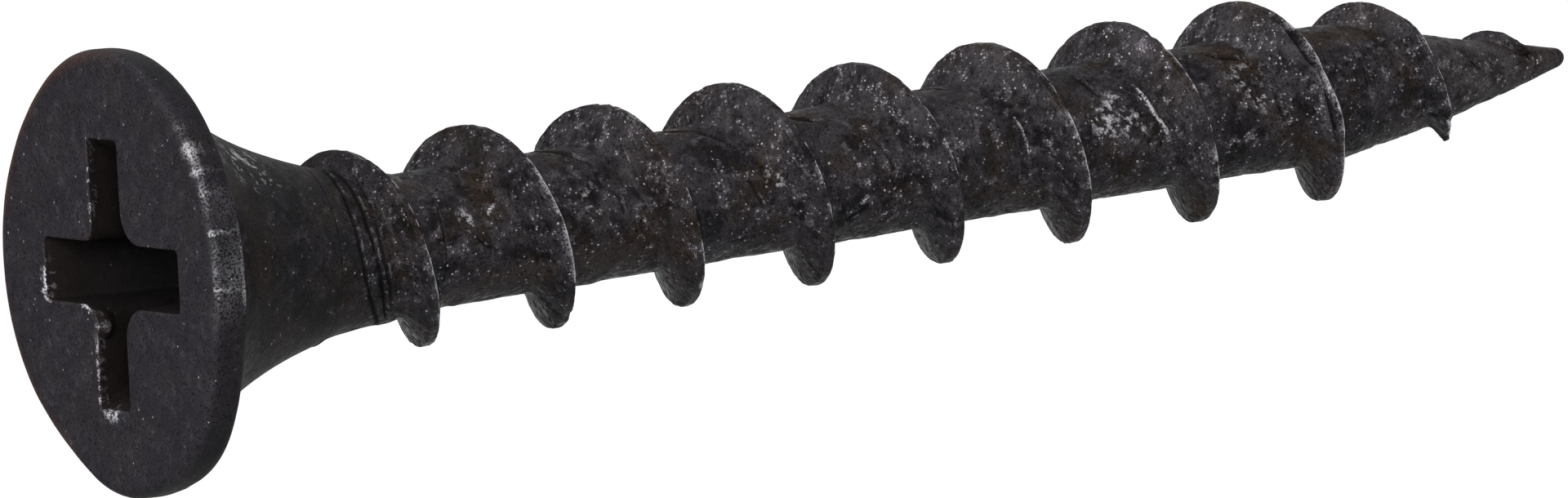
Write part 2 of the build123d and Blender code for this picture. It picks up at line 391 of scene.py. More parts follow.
def build_head():
    n = int(440 * DENSITY) // 4 * 4
    ang = 2 * math.pi * np.arange(n) / n
    # inner corner fillets: the two away from -Y are tight, the two towards it wide
    fillets = [0.26, 0.50, 0.62, 0.66]
    slope = math.tan(deg(26.5))
    rings, tags = [], []     # each ring: (n, 3) mm before the lean; tag: 0 recess, 1 face, 2 rim, 3 flare

    def outline(z):
        k = z / 2.72
        a = SPAN - z * slope * 0.985
        spans = [a, a, a, a + 0.26 * (1 - float(smooth(z / 1.1)))]
        b = WING - 0.10 * k
        inner = [max(0.12, f * (1 - 0.55 * k)) for f in fillets]
        inner = [min(f, a - b - 0.16) for f in inner]
        return cross_outline(spans, b, 0.10, inner, n)

    floor = outline(2.72)
    # recess floor, out from the middle
    for t in (0.06, 0.2, 0.35, 0.5, 0.65, 0.8, 0.92):
        z = 2.72 + 0.36 * (1 - t) ** 1.2
        rings.append(np.c_[floor * t, np.full(n, -z)]); tags.append(0)
    for z in 2.72 - np.concatenate([[0, 0.03], np.linspace(0.1, 2.72 - 0.09, int(44 * DENSITY))]):
        rings.append(np.c_[outline(z), np.full(n, -z)]); tags.append(0)
    # rolled mouth edge
    mouth = outline(0.0)
    nxt, prv = np.roll(mouth, -1, 0), np.roll(mouth, 1, 0)
    tan = nxt - prv
    nor = np.stack([tan[:, 1], -tan[:, 0]], -1)
    nor /= np.linalg.norm(nor, axis=1)[:, None]
    edge = 0.045
    for g in np.linspace(0.1, 1.0, 6):
        b = g * math.pi / 2
        rings.append(np.c_[mouth + nor * edge * (1 - math.cos(b)), np.full(n, -edge * (1 - math.sin(b)))]); tags.append(0)
    inner_ring = mouth + nor * edge
    outer = np.c_[np.cos(ang), np.sin(ang)]
    top_r = 0.20
    face_r = HEAD_R - top_r
    steps = int(46 * DENSITY)
    for t in np.linspace(0, 1, steps + 1)[1:] ** 0.9:
        rings.append(np.c_[inner_ring * (1 - t) + outer * face_r * t, np.zeros(n)]); tags.append(1)
    for g in np.linspace(0, 1, 8)[1:]:
        b = g * math.pi / 2
        rings.append(np.c_[outer * (face_r + top_r * math.sin(b)), np.full(n, -top_r * (1 - math.cos(b)))]); tags.append(2)
    low = 0.14
    for z in np.linspace(top_r, RIM - low, 10)[1:]:
        rings.append(np.c_[outer * HEAD_R, np.full(n, -z)]); tags.append(2)
    # rounded under-edge, then the flare to the end of the head
    e0 = np.array([HEAD_R, RIM - low])
    fl_d = RIM + 0.02 + np.concatenate([np.linspace(0, 0.25, int(12 * DENSITY)) , np.linspace(0.29, 4.0 - RIM - 0.02, int(62 * DENSITY))])
    fl_r = flare(fl_d)
    for g in np.linspace(0, 1, 5)[1:-1]:
        b = g * math.pi / 2
        rr = HEAD_R - low * 0.55 * (1 - math.cos(b)); zz = RIM - low + low * math.sin(b)
        rings.append(np.c_[outer * rr, np.full(n, -zz)]); tags.append(2)
    for d, r in zip(fl_d, fl_r):
        rings.append(np.c_[outer * min(r, HEAD_R - 0.075), np.full(n, -d)]); tags.append(3)
    R = np.stack(rings)                       # (rows, n, 3)
    tag = np.repeat(np.array(tags), n)
    P = R.reshape(-1, 3).copy()
    depth, bearing = -P[:, 2], np.arctan2(P[:, 1], P[:, 0])
    rad = np.hypot(P[:, 0], P[:, 1])
    wear_and_highlight, dark, rust = np.zeros(len(P)), np.zeros(len(P)), np.zeros(len(P))
    # gentle unevenness: face very slightly hollow near the recess, fine grain, rim waves
    face, rim, fl, rec = tag == 1, tag == 2, tag == 3, tag == 0
    P[:, 2] += np.where(face, 0.006 * fractal(P, 1.5, 5, 2) + 0.0015 * fractal(P, 0.13, 9, 2), 0)
    lump = 0.012 * fractal(P, 1.3, 13, 2) + 0.004 * fractal(P, 0.3, 15, 2)
    out = np.c_[np.cos(bearing), np.sin(bearing)]
    grow = np.where(rim, lump + 0.010 * smooth((rad - 4.0) / 0.1), 0) + np.where(fl, 0.5 * lump, 0)
    # the blow that formed the head left it a little out of round
    def swell(centre, width):
        return np.exp(-(turn_gap(bearing, centre) / deg(width)) ** 2)
    uneven = 0.150 * swell(86, 30) - 0.245 * swell(148, 24) + 0.200 * swell(-137, 20)
    grow += np.where(face | rim | fl, uneven * smooth((rad - 2.6) / 1.4), 0)
    grow -= np.where(rim | fl, 0.055 * np.exp(-((depth - RIM) / 0.16) ** 2), 0)      # rolled back edge
    P[:, :2] += out * grow[:, None]
    # face edge sinks round the mouth on the driven side
    sink = np.where(face, np.exp(-((rad - 0.9) / 0.55) ** 2), 0)
    P[:, 2] -= 0.012 * sink
    # rough recess walls
    wall = rec & (depth > 0.05)
    P[:, :2] += np.where(wall, 0.012 * fractal(P, 0.25, 21, 3), 0)[:, None] * out
    # burr of torn metal at the end of the -X wing, and nicks along the edges
    burr = bump(P[:, 1], 0.05, 0.62) * bump(P[:, 0], -2.55, 0.30) * (depth < 0.5)
    rag = fractal(P, 0.11, 33, 3)
    P[:, 2] += 0.055 * burr * np.clip(rag + 0.25, 0, 1.2)
    P[:, 0] += 0.060 * burr * np.clip(noise(P, 0.15, 35) + 0.1, 0, 1)
    wear_and_highlight = np.maximum(wear_and_highlight, 0.55 * burr * (rag > 0.2))
    # a bead of metal hangs in the -X, +Y inner corner, just under the mouth, with
    # painted highlights on it and a thin rubbed line trailing along the wing's edge
    corner = rec & (P[:, 1] > 0.30) & (P[:, 0] < -0.42) & (P[:, 0] > -1.5)
    along_x = (P[:, 0] + 0.86) / np.where(P[:, 0] > -0.86, 0.27, 0.36)
    bead = np.where(corner, np.clip(1 - along_x ** 2 - ((depth - 0.17) / 0.19) ** 2, 0, 1), 0)
    P[:, 1] -= 0.17 * np.sqrt(bead)
    P[:, 0] -= 0.05 * np.sqrt(bead)
    dots = np.clip(0.7 + 0.6 * noise(P, 0.05, 39), 0, 1)
    lit = bead * (0.95 * np.exp(-((P[:, 0] + 0.98) / 0.09) ** 2 - ((depth - 0.15) / 0.07) ** 2) + 0.40 * np.exp(-((P[:, 0] + 0.74) / 0.06) ** 2 - ((depth - 0.12) / 0.06) ** 2))
    wear_and_highlight = np.maximum(wear_and_highlight, np.clip(lit * 2.2, 0, 1) * dots)
    mouth_edge = np.exp(-((depth - 0.02) / 0.035) ** 2) * rec * (rad < 2.2) * (P[:, 1] > 0.40) * (P[:, 0] < -0.45)
    near_bead = np.exp(-((P[:, 0] + 0.64) / 0.08) ** 2) * (P[:, 1] < 1.12) + 0.6 * np.exp(-((P[:, 0] + 0.97) / 0.06) ** 2) + np.exp(-((P[:, 0] + 1.26) / 0.11) ** 2)
    wear_and_highlight = np.maximum(wear_and_highlight, 0.66 * mouth_edge * np.clip(near_bead, 0, 1) * dots)
    # worn arcs on the rim's two edges, with short scratches across them: the front arc is wear with a painted
    # highlight, the back arc a painted highlight, and the band between gets a painted sheen
    turn = bearing * HEAD_R
    scr = np.clip(noise(np.c_[turn / 0.15, depth / 2.5, (HEAD_R - rad) / 0.9], 1.0, 41) * 1.7 - 0.15, 0, 1)
    patchy = np.clip(0.55 + 0.70 * fractal(np.c_[turn / 0.9, depth / 0.5, rad / 0.5], 1.0, 43, 3), 0, 1)
    arc = np.clip(1 - np.abs((bearing - deg(-72)) / deg(30)) ** 3, 0, 1)
    # wear with a painted highlight on the rim's front edge
    front = np.exp(-((rad - (HEAD_R - 0.055)) / 0.050) ** 2) * (depth < 0.22) * arc
    front += 0.45 * np.exp(-((depth - 0.16) / 0.07) ** 2) * (rad > 4.0) * arc
    upper = np.clip(1 - np.abs((bearing - deg(-56)) / deg(15)) ** 2, 0, 1)
    cross = np.exp(-((rad - (HEAD_R - 0.10)) / 0.16) ** 2) * (depth < 0.40) * upper
    low_arc = np.clip(1 - np.abs((bearing - deg(-87)) / deg(17)) ** 3, 0, 1)
    # painted highlight along the rim's back edge
    back = np.exp(-((depth - (RIM - 0.06)) / 0.07) ** 2) * (rad > 3.9) * low_arc
    # painted sheen over the rim band, with scratches
    rim_sheen_band = rim * (depth > 0.04) * np.clip(1 - np.abs((bearing - deg(-80)) / deg(27)) ** 3, 0, 1)
    wear_and_highlight = np.maximum(wear_and_highlight, np.clip(front * (0.10 + 0.23 * patchy + 0.30 * scr), 0, 1))
    wear_and_highlight = np.maximum(wear_and_highlight, 0.24 * cross * scr)
    wear_and_highlight = np.maximum(wear_and_highlight, np.clip(back * (0.09 + 0.50 * patchy ** 1.5), 0, 1))
    wear_and_highlight = np.maximum(wear_and_highlight, rim_sheen_band * (0.07 + 0.12 * patchy + 0.13 * scr))
    # dull handling wear elsewhere on the rim edge
    ring_edge = np.exp(-((rad - (HEAD_R - 0.06)) / 0.08) ** 2) * (depth < 0.3)
    wear_and_highlight = np.maximum(wear_and_highlight, 0.10 * ring_edge * patchy)
    rust = np.maximum(rust, 0.75 * smooth((rad - 3.85) / 0.28) * (depth < 0.6) * np.clip(np.sin(bearing - deg(-12)), 0, 1))
    # recess edges: light specks on the +Y sides, brown film on the walls; below its mouth the recess is made
    # near-black, a painted shade
    near = rec & (depth < 0.12)
    close = np.where(rec, depth < 0.16, False)
    speck = fractal(P, 0.085, 47, 2)
    left_end = bump(P[:, 1], 2.45, 0.45) * bump(P[:, 0], -0.25, 0.75)
    left_side = bump(P[:, 1], 0.60, 0.16) * (np.abs(P[:, 0]) > 0.6)
    wear_and_highlight = np.maximum(wear_and_highlight, np.where(close, (speck > 0.14) * (0.52 * left_end + 0.34 * left_side), 0))
    wear_and_highlight = np.maximum(wear_and_highlight, np.where(face, (speck > 0.34) * 0.5 * bump(P[:, 1], 2.62, 0.16) * bump(P[:, 0], -0.35, 0.6), 0))
    rust = np.maximum(rust, np.where(rec, 0.05 * np.exp(-depth / 0.9) * (1 - smooth(depth / 1.6)), 0))
    # painted shade: the recess walls and floor below the mouth are set near-black
    dark = np.maximum(dark, np.where(rec, 0.90 + 0.1 * smooth((depth - 0.02) / 0.6), 0) * (depth > 0.03))
    # flecks where the flare leaves the rim, at the upper side
    fleck = (fractal(P, 0.10, 49, 2) > 0.36) * np.exp(-((depth - 2.2) / 0.75) ** 2) * np.clip(1 - ((bearing - deg(-36)) / deg(22)) ** 2, 0, 1)
    wear_and_highlight = np.maximum(wear_and_highlight, np.where(fl, 0.60 * fleck, 0))
    d2 = -P[:, 2]
    r2, t2 = np.hypot(P[:, 0], P[:, 1]), np.arctan2(P[:, 1], P[:, 0])
    V = place(d2, t2, r2)
    rows = len(rings)
    centre = place(np.array([2.72 + 0.38]), np.array([0.0]), np.array([0.0]))
    last = place(np.array([4.0]), np.array([0.0]), np.array([0.0]))
    N = len(V)
    V = np.concatenate([V, centre, last])
    faces = [grid_faces(rows, n)[:, ::-1], cap(np.arange(n), N, True)[:, ::-1][:, ::-1], cap(np.arange(N - n, N), N + 1, True)[:, ::-1]]
    pad = np.zeros(2)
    # the recess floor's centre point gets the same near-black painted shade
    return make_mesh("head_skin", V, faces, {"wear_and_highlight": np.concatenate([wear_and_highlight, pad]), "dark": np.concatenate([dark, [1.0, 0.0]]),
                                             "rust": np.concatenate([rust, pad])})


# ---------------------------------------------------------------- the thread
def ridge_section():
    """Half open section of the ridge at full height, as (offset, height).
    Offset is along the axis, positive to the point."""
    full = CREST_R - CORE_R
    tan = math.tan(deg(26))
    wc = 0.085
    foot = wc + full * tan

    def side(sign, rho, cr):
        pts = []
        half = math.atan2(1, tan)      # flank's rise angle above the body
        t = rho * math.tan(half / 2)
        pts.append((foot + t + 0.10, -0.030))
        pts.append((foot + t + 0.03, -0.006))
        for j in range(6):
            g = half * j / 5
            pts.append((foot + t - rho * math.sin(g), rho * (1 - math.cos(g))))
        x0, y0 = pts[-1]
        k = cr * math.tan(half / 2)
        x1, y1 = wc + k * math.cos(half) , full - k * math.sin(half)
        for j in range(1, 9):
            f = j / 9
            pts.append((x0 + (x1 - x0) * f, y0 + (y1 - y0) * f))
        for j in range(8):
            g = half * (1 - j / 7)
            pts.append((wc - k + cr * math.sin(g), full - cr * (1 - math.cos(g))))
        return [(sign * x, y) for x, y in pts]

    left = side(-1, 0.19, 0.05)
    right = side(1, 0.12, 0.045)
    pts = left + right[::-1]
    return np.array(pts)


SPLIT_FROM, SPLIT_TO = 24.72, 25.44       # the rolled seam along one crest


def build_thread():
    sec = ridge_section()
    m = len(sec)
    start, stop = 3.98, 30.62
    per_turn = int(196 * DENSITY)
    count = int((stop - start) / PITCH * per_turn)
    dc = np.linspace(start, stop, count + 1)
    full = CREST_R - CORE_R
    t = (CREST_AT_X - dc) / PITCH * 2 * math.pi
    h = np.maximum(crest_radius(dc) - body_radius(dc), 0.015)
    # rolled slightly fuller on the -X side
    h = h + (0.026 - 0.008 * np.cos(t)) * np.clip((dc - 5.5) / 2, 0, 1) * np.clip(h / 0.4, 0, 1)
    # uneven crest: slow waviness, and a few nicks and flats
    along = np.c_[np.cos(t) * 2, np.sin(t) * 2, -dc]
    h = h + 0.010 * fractal(along, 1.4, 101, 2) * np.clip(h / 0.4, 0, 1) + 0.004 * fractal(along, 0.25, 103, 2)
    for d0, w, deep in ((10.55, 0.018, 0.040), (10.11, 0.03, 0.035), (10.62, 0.02, 0.020), (16.55, 0.03, 0.035), (13.2, 0.04, 0.02),
                        (21.97, 0.03, 0.030), (22.06, 0.03, 0.030), (27.72, 0.24, -0.09), (28.20, 0.05, -0.02), (28.34, 0.03, 0.10), (28.60, 0.035, -0.07),
                        (8.9, 0.05, 0.03), (19.4, 0.06, 0.03), (25.9, 0.04, 0.03)):
        h = h - deep * bump(dc, d0, w) * np.clip(h / 0.3, 0, 1)
    scale = np.clip(h / full, 0.03, 1.2)
    lean = 0.035 * fractal(along, 2.1, 105, 2)      # the crest wanders along the axis
    # from crest radius and section to depth and radius
    off = sec[None, :, 0] * scale[:, None] ** 0.9
    hh = sec[None, :, 1] * scale[:, None]
    wander = lean[:, None] * np.clip(sec[None, :, 1] / full, 0, 1)
    D = dc[:, None] + off + wander
    T = np.broadcast_to(t[:, None], D.shape)
    base = body_radius(D)
    d, b = D.ravel(), T.ravel()
    P0 = place(d, b, base.ravel())
    push, worn_b, dark_b = body_marks(d, b, P0)
    up = np.clip(sec[:, 1] / full, 0, 1)
    rise = np.broadcast_to(up[None, :], D.shape).ravel()
    low = 1 - smooth(rise / 0.35)
    fade_ends = np.clip(h / 0.25, 0, 1)
    r = base.ravel() + push * low + hh.ravel()
    # toe points stay just under the body's own surface
    toe = np.zeros(D.shape); toe[:, 0] = toe[:, -1] = 1
    P = place(d, b, r)
    flank = smooth(rise / 0.25) * (1 - smooth((rise - 0.86) / 0.12))
    off1 = np.broadcast_to(sec[None, :, 0], D.shape).ravel()
    head_side = off1 < 0
    # crystalline, dimpled flanks
    grain = 0.0095 * fractal(P, 0.22, 111, 3, 0.6) - 0.016 * pits(P, 0.20, 113, 0.35)
    ripple = 0.010 * fractal(P, 0.8, 115, 2)
    dz = flank * (grain * (0.25 + 0.75 * smooth((np.cos(b) + 0.75) / 0.9)) + ripple) * np.where(head_side, -1, 1)
    d = d + dz
    # crest edge: ragged, with the seam split open over part of a turn
    crest = smooth((rise - 0.88) / 0.10)
    r = r + crest * 0.010 * fractal(P, 0.12, 117, 3)
    seam_band = np.clip((dc - SPLIT_FROM) / 0.06, 0, 1) * np.clip((SPLIT_TO - dc) / 0.08, 0, 1)
    gap = np.interp(dc, [24.70, 24.76, 24.86, 24.91, 25.03, 25.08, 25.17, 25.21, 25.36, 25.44], [0, 0.30, 0.30, 0.9, 1.0, 0.05, 0.05, 1.0, 1.0, 0])
    open_w = seam_band * gap * (0.85 + 0.25 * noise(along, 0.20, 121))
    sb = np.broadcast_to(np.clip(open_w, 0, 1)[:, None], D.shape).ravel()
    slit = bump(off1, -0.028, 0.085) * sb
    r = r - 0.26 * slit * crest
    d = d + 0.055 * sb * smooth(rise / 0.8) * (off1 > 0.03)
    d = d - 0.020 * sb * smooth(rise / 0.8) * (off1 < -0.05)
    V = place(d, b, r)
    # a thin bright line on the crest's point-side edge, broken and uneven: wear, with a painted highlight that is
    # strongest where the crest faces the lights
    run = b * CREST_R
    wob = fractal(np.c_[run / 1.6, D.ravel() * 0.8, 0 * b], 1.0, 123, 3)
    dots = fractal(np.c_[run / 0.16, off1 / 0.2, 0 * b], 1.0, 125, 2)
    edge = np.exp(-((off1 - 0.084) / 0.021) ** 2) * smooth((rise - 0.84) / 0.10)
    edge2 = np.exp(-((off1 + 0.075) / 0.030) ** 2) * crest
    # painted highlight: the line is brightest on the side facing the lights, about bearing -80
    highlight_facing = 0.50 + 0.50 * np.cos(b - deg(-80))
    wear_and_highlight = 2.2 * edge * np.clip(0.22 + 0.75 * wob + 0.70 * dots, 0.02, 1) * highlight_facing + 0.22 * edge2 * np.clip(wob + 0.6 * dots, 0, 1)
    wear_and_highlight = wear_and_highlight * (1 - 0.9 * np.clip(slit * 2, 0, 1))
    # brighter rubbed places
    for d0, w, k in ((28.36, 0.10, 1.0), (28.48, 0.05, 1.0), (25.18, 0.06, 0.8), (11.62, 0.05, 0.6), (24.85, 0.05, 0.5), (8.35, 0.06, 0.5)):
        wear_and_highlight = np.maximum(wear_and_highlight, k * bump(dc, d0, w)[:, None].repeat(m, 1).ravel() * np.exp(-((off1 - 0.04) / 0.07) ** 2) * crest)
    wear_and_highlight = np.maximum(wear_and_highlight, worn_b * low)
    # painted shade: the split seam along the crest is darkened inside
    dark = np.maximum(dark_b * low, np.clip(slit * 2.2, 0, 1) * crest)
    # close the section: inner wall under the body's surface
    rows = len(dc)
    V = V.reshape(rows, m, 3)
    inner = []
    for f in (0.85, 0.5, 0.15):
        # inner wall offsets run back from the point side toe to the head side toe
        o = (sec[0, 0] * (1 - f) + sec[-1, 0] * f) * scale ** 0.9
        di = dc + o
        inner.append(place(di, t, np.maximum(body_radius(di) - 0.10 * np.clip(scale * 2, 0.2, 1), 0.01)))
    V = np.concatenate([V, np.stack(inner, 1)], axis=1)
    cols = m + 3
    V = V.reshape(-1, 3)
    add = np.zeros((rows, 3))
    wear_and_highlight = np.concatenate([wear_and_highlight.reshape(rows, m), add], 1).ravel()
    dark = np.concatenate([dark.reshape(rows, m), add], 1).ravel()
    cr = np.concatenate([crest.reshape(rows, m), add], 1).ravel()
    # painted shade: fewer pale crystal specks on the lower lobes of the -X side
    shaded_low_lobes = 1 - 1.75 * smooth((np.cos(b + deg(165)) - 0.35) / 0.40)
    # painted glints: more pale specks on the head-side flanks, which face the lights
    light_side = np.concatenate([(head_side * flank * shaded_low_lobes).reshape(rows, m), add], 1).ravel()
    N = len(V)
    ends = np.stack([V[:cols].mean(0), V[-cols:].mean(0)])
    V = np.concatenate([V, ends])
    faces = [grid_faces(rows, cols), cap(np.arange(cols), N, True), cap(np.arange(N - cols, N), N + 1, False)]
    pad = np.zeros(2)
    return make_mesh("thread_ridge", V, faces, {"wear_and_highlight": np.concatenate([wear_and_highlight, pad]), "dark": np.concatenate([dark, pad]),
                                                "crest": np.concatenate([cr, pad]), "painted_light_side": np.concatenate([light_side, pad])})


head = build_head()
step = 0.045 / DENSITY
neck = surface_of_depth("neck_skin", np.arange(4.0, 6.4001, step * 0.8), int(250 * DENSITY))
core = surface_of_depth("core_skin", np.linspace(6.4, 26.5, int(20.1 / step)), int(190 * DENSITY))
point = surface_of_depth("point_skin", np.concatenate([np.linspace(26.5, LENGTH - 0.17, int(5.05 / step)), LENGTH - 0.17 * np.cos(np.linspace(0, math.pi / 2, 14)[1:])]), int(170 * DENSITY))
thread = build_thread()

# Faces point outwards.
import bmesh
for ob in (head, neck, core, point, thread):
    bm = bmesh.new()
    bm.from_mesh(ob.data)
    bmesh.ops.remove_doubles(bm, verts=bm.verts, dist=1e-9)
    bmesh.ops.recalc_face_normals(bm, faces=bm.faces)
    bm.to_mesh(ob.data)
    bm.free()
    print(ob.name, len(ob.data.vertices), "vertices", len(ob.data.polygons), "faces")


# ----------------------------------------------------------------- materials
def new_material(name):
    m = bpy.data.materials.new(name)
    m.use_nodes = True
    nt = m.node_tree
    nt.nodes.clear()
    out = nt.nodes.new("ShaderNodeOutputMaterial")
    bsdf = nt.nodes.new("ShaderNodeBsdfPrincipled")
    nt.links.new(bsdf.outputs["BSDF"], out.inputs["Surface"])
    return m, nt, bsdf


class Net:
    def __init__(self, nt):
        self.nt = nt
        self.coord = nt.nodes.new("ShaderNodeTexCoord").outputs["Object"]

    def link(self, a, b):
        self.nt.links.new(a, b)

    def put(self, socket, value):
        if isinstance(value, bpy.types.NodeSocket):
            self.link(value, socket)
        else:
            socket.default_value = value

    def noise(self, scale, detail=2.0, rough=0.55, distortion=0.0):
        n = self.nt.nodes.new("ShaderNodeTexNoise")
        n.inputs["Scale"].default_value = scale
        n.inputs["Detail"].default_value = detail
        n.inputs["Roughness"].default_value = rough
        n.inputs["Distortion"].default_value = distortion
        self.link(self.coord, n.inputs["Vector"])
        return n.outputs["Fac"]

    def cells(self, scale, feature="F1"):
        n = self.nt.nodes.new("ShaderNodeTexVoronoi")
        n.feature = feature
        n.inputs["Scale"].default_value = scale
        self.link(self.coord, n.inputs["Vector"])
        return n.outputs["Distance"], n.outputs["Color"]

    def attr(self, name):
        n = self.nt.nodes.new("ShaderNodeAttribute")
        n.attribute_name = name
        return n.outputs["Fac"]

    def math(self, op, a, b=0.0, c=0.0, clamp=False):
        n = self.nt.nodes.new("ShaderNodeMath")
        n.operation = op
        n.use_clamp = clamp
        self.put(n.inputs[0], a)
        self.put(n.inputs[1], b)
        self.put(n.inputs[2], c)
        return n.outputs[0]

    def ramp(self, x, a, b, lo=0.0, hi=1.0):
        n = self.nt.nodes.new("ShaderNodeMapRange")
        n.clamp = True
        n.interpolation_type = "SMOOTHSTEP"
        self.put(n.inputs["Value"], x)
        n.inputs["From Min"].default_value = a
        n.inputs["From Max"].default_value = b
        n.inputs["To Min"].default_value = lo
        n.inputs["To Max"].default_value = hi
        return n.outputs["Result"]

    def mix(self, fac, a, b):
        n = self.nt.nodes.new("ShaderNodeMix")
        n.data_type = "RGBA"
        n.clamp_factor = True
        self.put(n.inputs["Factor"], fac)
        self.put(n.inputs[6], a if isinstance(a, bpy.types.NodeSocket) else (*a, 1.0))
        self.put(n.inputs[7], b if isinstance(b, bpy.types.NodeSocket) else (*b, 1.0))
        return n.outputs[2]

    def split(self, colour):
        n = self.nt.nodes.new("ShaderNodeSeparateColor")
        self.link(colour, n.inputs[0])
        return n.outputs

    def bump(self, height, distance, strength=1.0, normal=None):
        n = self.nt.nodes.new("ShaderNodeBump")
        n.inputs["Strength"].default_value = strength
        n.inputs["Distance"].default_value = distance
        self.link(height, n.inputs["Height"])
        if normal is not None:
            self.link(normal, n.inputs["Normal"])
        return n.outputs["Normal"]


# Looks of the coat on the head's face, the neck and the threaded part:
# two coat colours, how many pale crystal specks that are painted glints, how far the crystals lean, the range
# of roughness, and how much brown dirt lies in it.
FACE = dict(base=(0.0063, 0.0058, 0.0071), other=(0.0078, 0.0072, 0.0087), specks=0.06, lean=0.11, rough=(0.52, 0.60), brown=0.12, grain=0.22, patchy=0.30)
NECK = dict(base=(0.0050, 0.0046, 0.0053), other=(0.0086, 0.0079, 0.0087), specks=0.16, lean=0.16, rough=(0.48, 0.60), brown=0.30, grain=0.50, patchy=0.55)
ROOT = dict(base=(0.0038, 0.0034, 0.0039), other=(0.0145, 0.0132, 0.0150), specks=1.12, lean=0.58, rough=(0.28, 0.58), brown=0.42, grain=1.25, patchy=0.74)
TIP = dict(ROOT, base=(0.0068, 0.0060, 0.0064), other=(0.0230, 0.0205, 0.0220), brown=0.34)
SPECULAR = 0.026


def phosphate(name, one, two, start, stop):
    """Black phosphate coat: mottled near-black, with fine crystals that lean every
    way and catch the light, pale specks that are painted glints, worn places with
    painted highlights, brown dirt, and near-black painted shade in the recess and cracks.
    It grades from look one to look two between two depths in mm."""
    m, nt, bsdf = new_material(name)
    k = Net(nt)
    if one is two:
        blend = None
    else:
        z = nt.nodes.new("ShaderNodeSeparateXYZ")
        k.link(k.coord, z.inputs[0])
        wavy = k.math("MULTIPLY", k.math("SUBTRACT", k.noise(1400.0, 2.0), 0.5), 0.0006)
        blend = k.ramp(k.math("ADD", z.outputs["Z"], wavy), -start * MM, -stop * MM)

    def number(key, item=None):
        a, b = (one[key], two[key]) if item is None else (one[key][item], two[key][item])
        if blend is None or a == b:
            return a
        return k.math("ADD", a, k.math("MULTIPLY", blend, b - a))

    def colour_of(key, gain=1.0):
        a, b = (tuple(x * gain for x in look[key]) for look in (one, two))
        return a if blend is None else k.mix(blend, a, b)

    cloud = k.noise(1500.0, 3.0, 0.6)
    mid = k.noise(5200.0, 3.0, 0.65)
    fine = k.noise(23000.0, 2.0, 0.6)
    c_dist, c_col = k.cells(19000.0)
    b_dist, b_col = k.cells(10500.0)
    cs, bs = k.split(c_col), k.split(b_col)
    cluster = k.ramp(mid, 0.44, 0.66)
    colour = k.mix(k.ramp(cloud, 0.36, 0.66), colour_of("base"), colour_of("other"))
    patch = k.ramp(k.noise(2900.0, 4.0, 0.62), 0.47, 0.64)
    colour = k.mix(k.math("MULTIPLY", k.math("MULTIPLY", cluster, number("patchy")), k.math("ADD", 0.25, k.math("MULTIPLY", patch, 0.75))), colour, colour_of("other", 3.3))
    # brown dirt in patches; more brown on the shaded root tops and less on the lit head-side flanks, a painted
    # shade
    brown = k.math("MULTIPLY", k.ramp(k.noise(800.0, 3.0, 0.6), 0.44, 0.66), k.math("MULTIPLY", number("brown"), k.math("SUBTRACT", 1.0, k.math("MULTIPLY", k.attr("painted_light_side"), 0.55))))
    colour = k.mix(brown, colour, (0.0150, 0.0098, 0.0062))
    # dark pores between crystals
    colour = k.mix(k.ramp(fine, 0.50, 0.34, 0.0, 0.8), colour, (0.0012, 0.0010, 0.0010))
    # pale crystal specks, painted glints: rare everywhere, gathered in clouds
    # painted glints: more pale specks on the lit head-side flanks, fewer on the shaded root tops and lower lobes
    share = k.math("MULTIPLY", k.math("ADD", 0.012, k.math("MULTIPLY", k.math("MULTIPLY", cluster, k.math("ADD", 0.3, patch)), 0.44)), k.math("MULTIPLY", number("specks"), k.math("ADD", 1.0, k.math("MULTIPLY", k.attr("painted_light_side"), 0.8))))
    small_glints = k.math("GREATER_THAN", cs[0], k.math("SUBTRACT", 1.0, share))
    small_glints = k.math("MULTIPLY", small_glints, k.ramp(c_dist, 0.56, 0.24))
    big_glints = k.math("GREATER_THAN", bs[1], k.math("SUBTRACT", 1.0, k.math("MULTIPLY", number("specks"), 0.012)))
    big_glints = k.math("MULTIPLY", big_glints, k.ramp(b_dist, 0.34, 0.16))
    colour = k.mix(k.math("MULTIPLY", small_glints, k.math("ADD", 0.10, k.math("MULTIPLY", k.math("POWER", cs[2], 2.0), 0.52))), colour, (0.215, 0.208, 0.228))
    colour = k.mix(k.math("MULTIPLY", big_glints, 0.45), colour, (0.300, 0.285, 0.265))
    # worn places with painted highlights and sheen, and darkening that is painted shade in the recess, laps and
    # split seam, from the mesh
    wear_and_highlight, dark = k.attr("wear_and_highlight"), k.attr("dark")
    # rubbed grey metal: real wear, together with painted highlights and sheen on the rim, crests and bead
    ragged_wear_and_highlight = k.math("MULTIPLY", wear_and_highlight, k.ramp(fine, 0.36, 0.58, 0.35, 1.30))
    wear_and_highlight_mix = k.ramp(ragged_wear_and_highlight, 0.06, 0.80)
    colour = k.mix(k.math("MULTIPLY", wear_and_highlight_mix, 0.85), colour, (0.235, 0.230, 0.242))
    # painted shade: near-black wherever the mesh marks darkening
    colour = k.mix(k.math("MULTIPLY", dark, 0.92), colour, (0.0010, 0.0008, 0.0008))
    k.link(colour, bsdf.inputs["Base Color"])
    lo, hi = number("rough", 0), number("rough", 1)
    span = k.math("SUBTRACT", hi, lo)
    r = k.math("ADD", lo, k.math("MULTIPLY", k.ramp(mid, 0.32, 0.68), span))
    r = k.math("ADD", r, k.math("MULTIPLY", dark, 0.35), clamp=True)
    k.link(r, bsdf.inputs["Roughness"])
    k.link(k.math("MULTIPLY", wear_and_highlight_mix, 0.35), bsdf.inputs["Metallic"])
    bsdf.inputs["Specular IOR Level"].default_value = SPECULAR
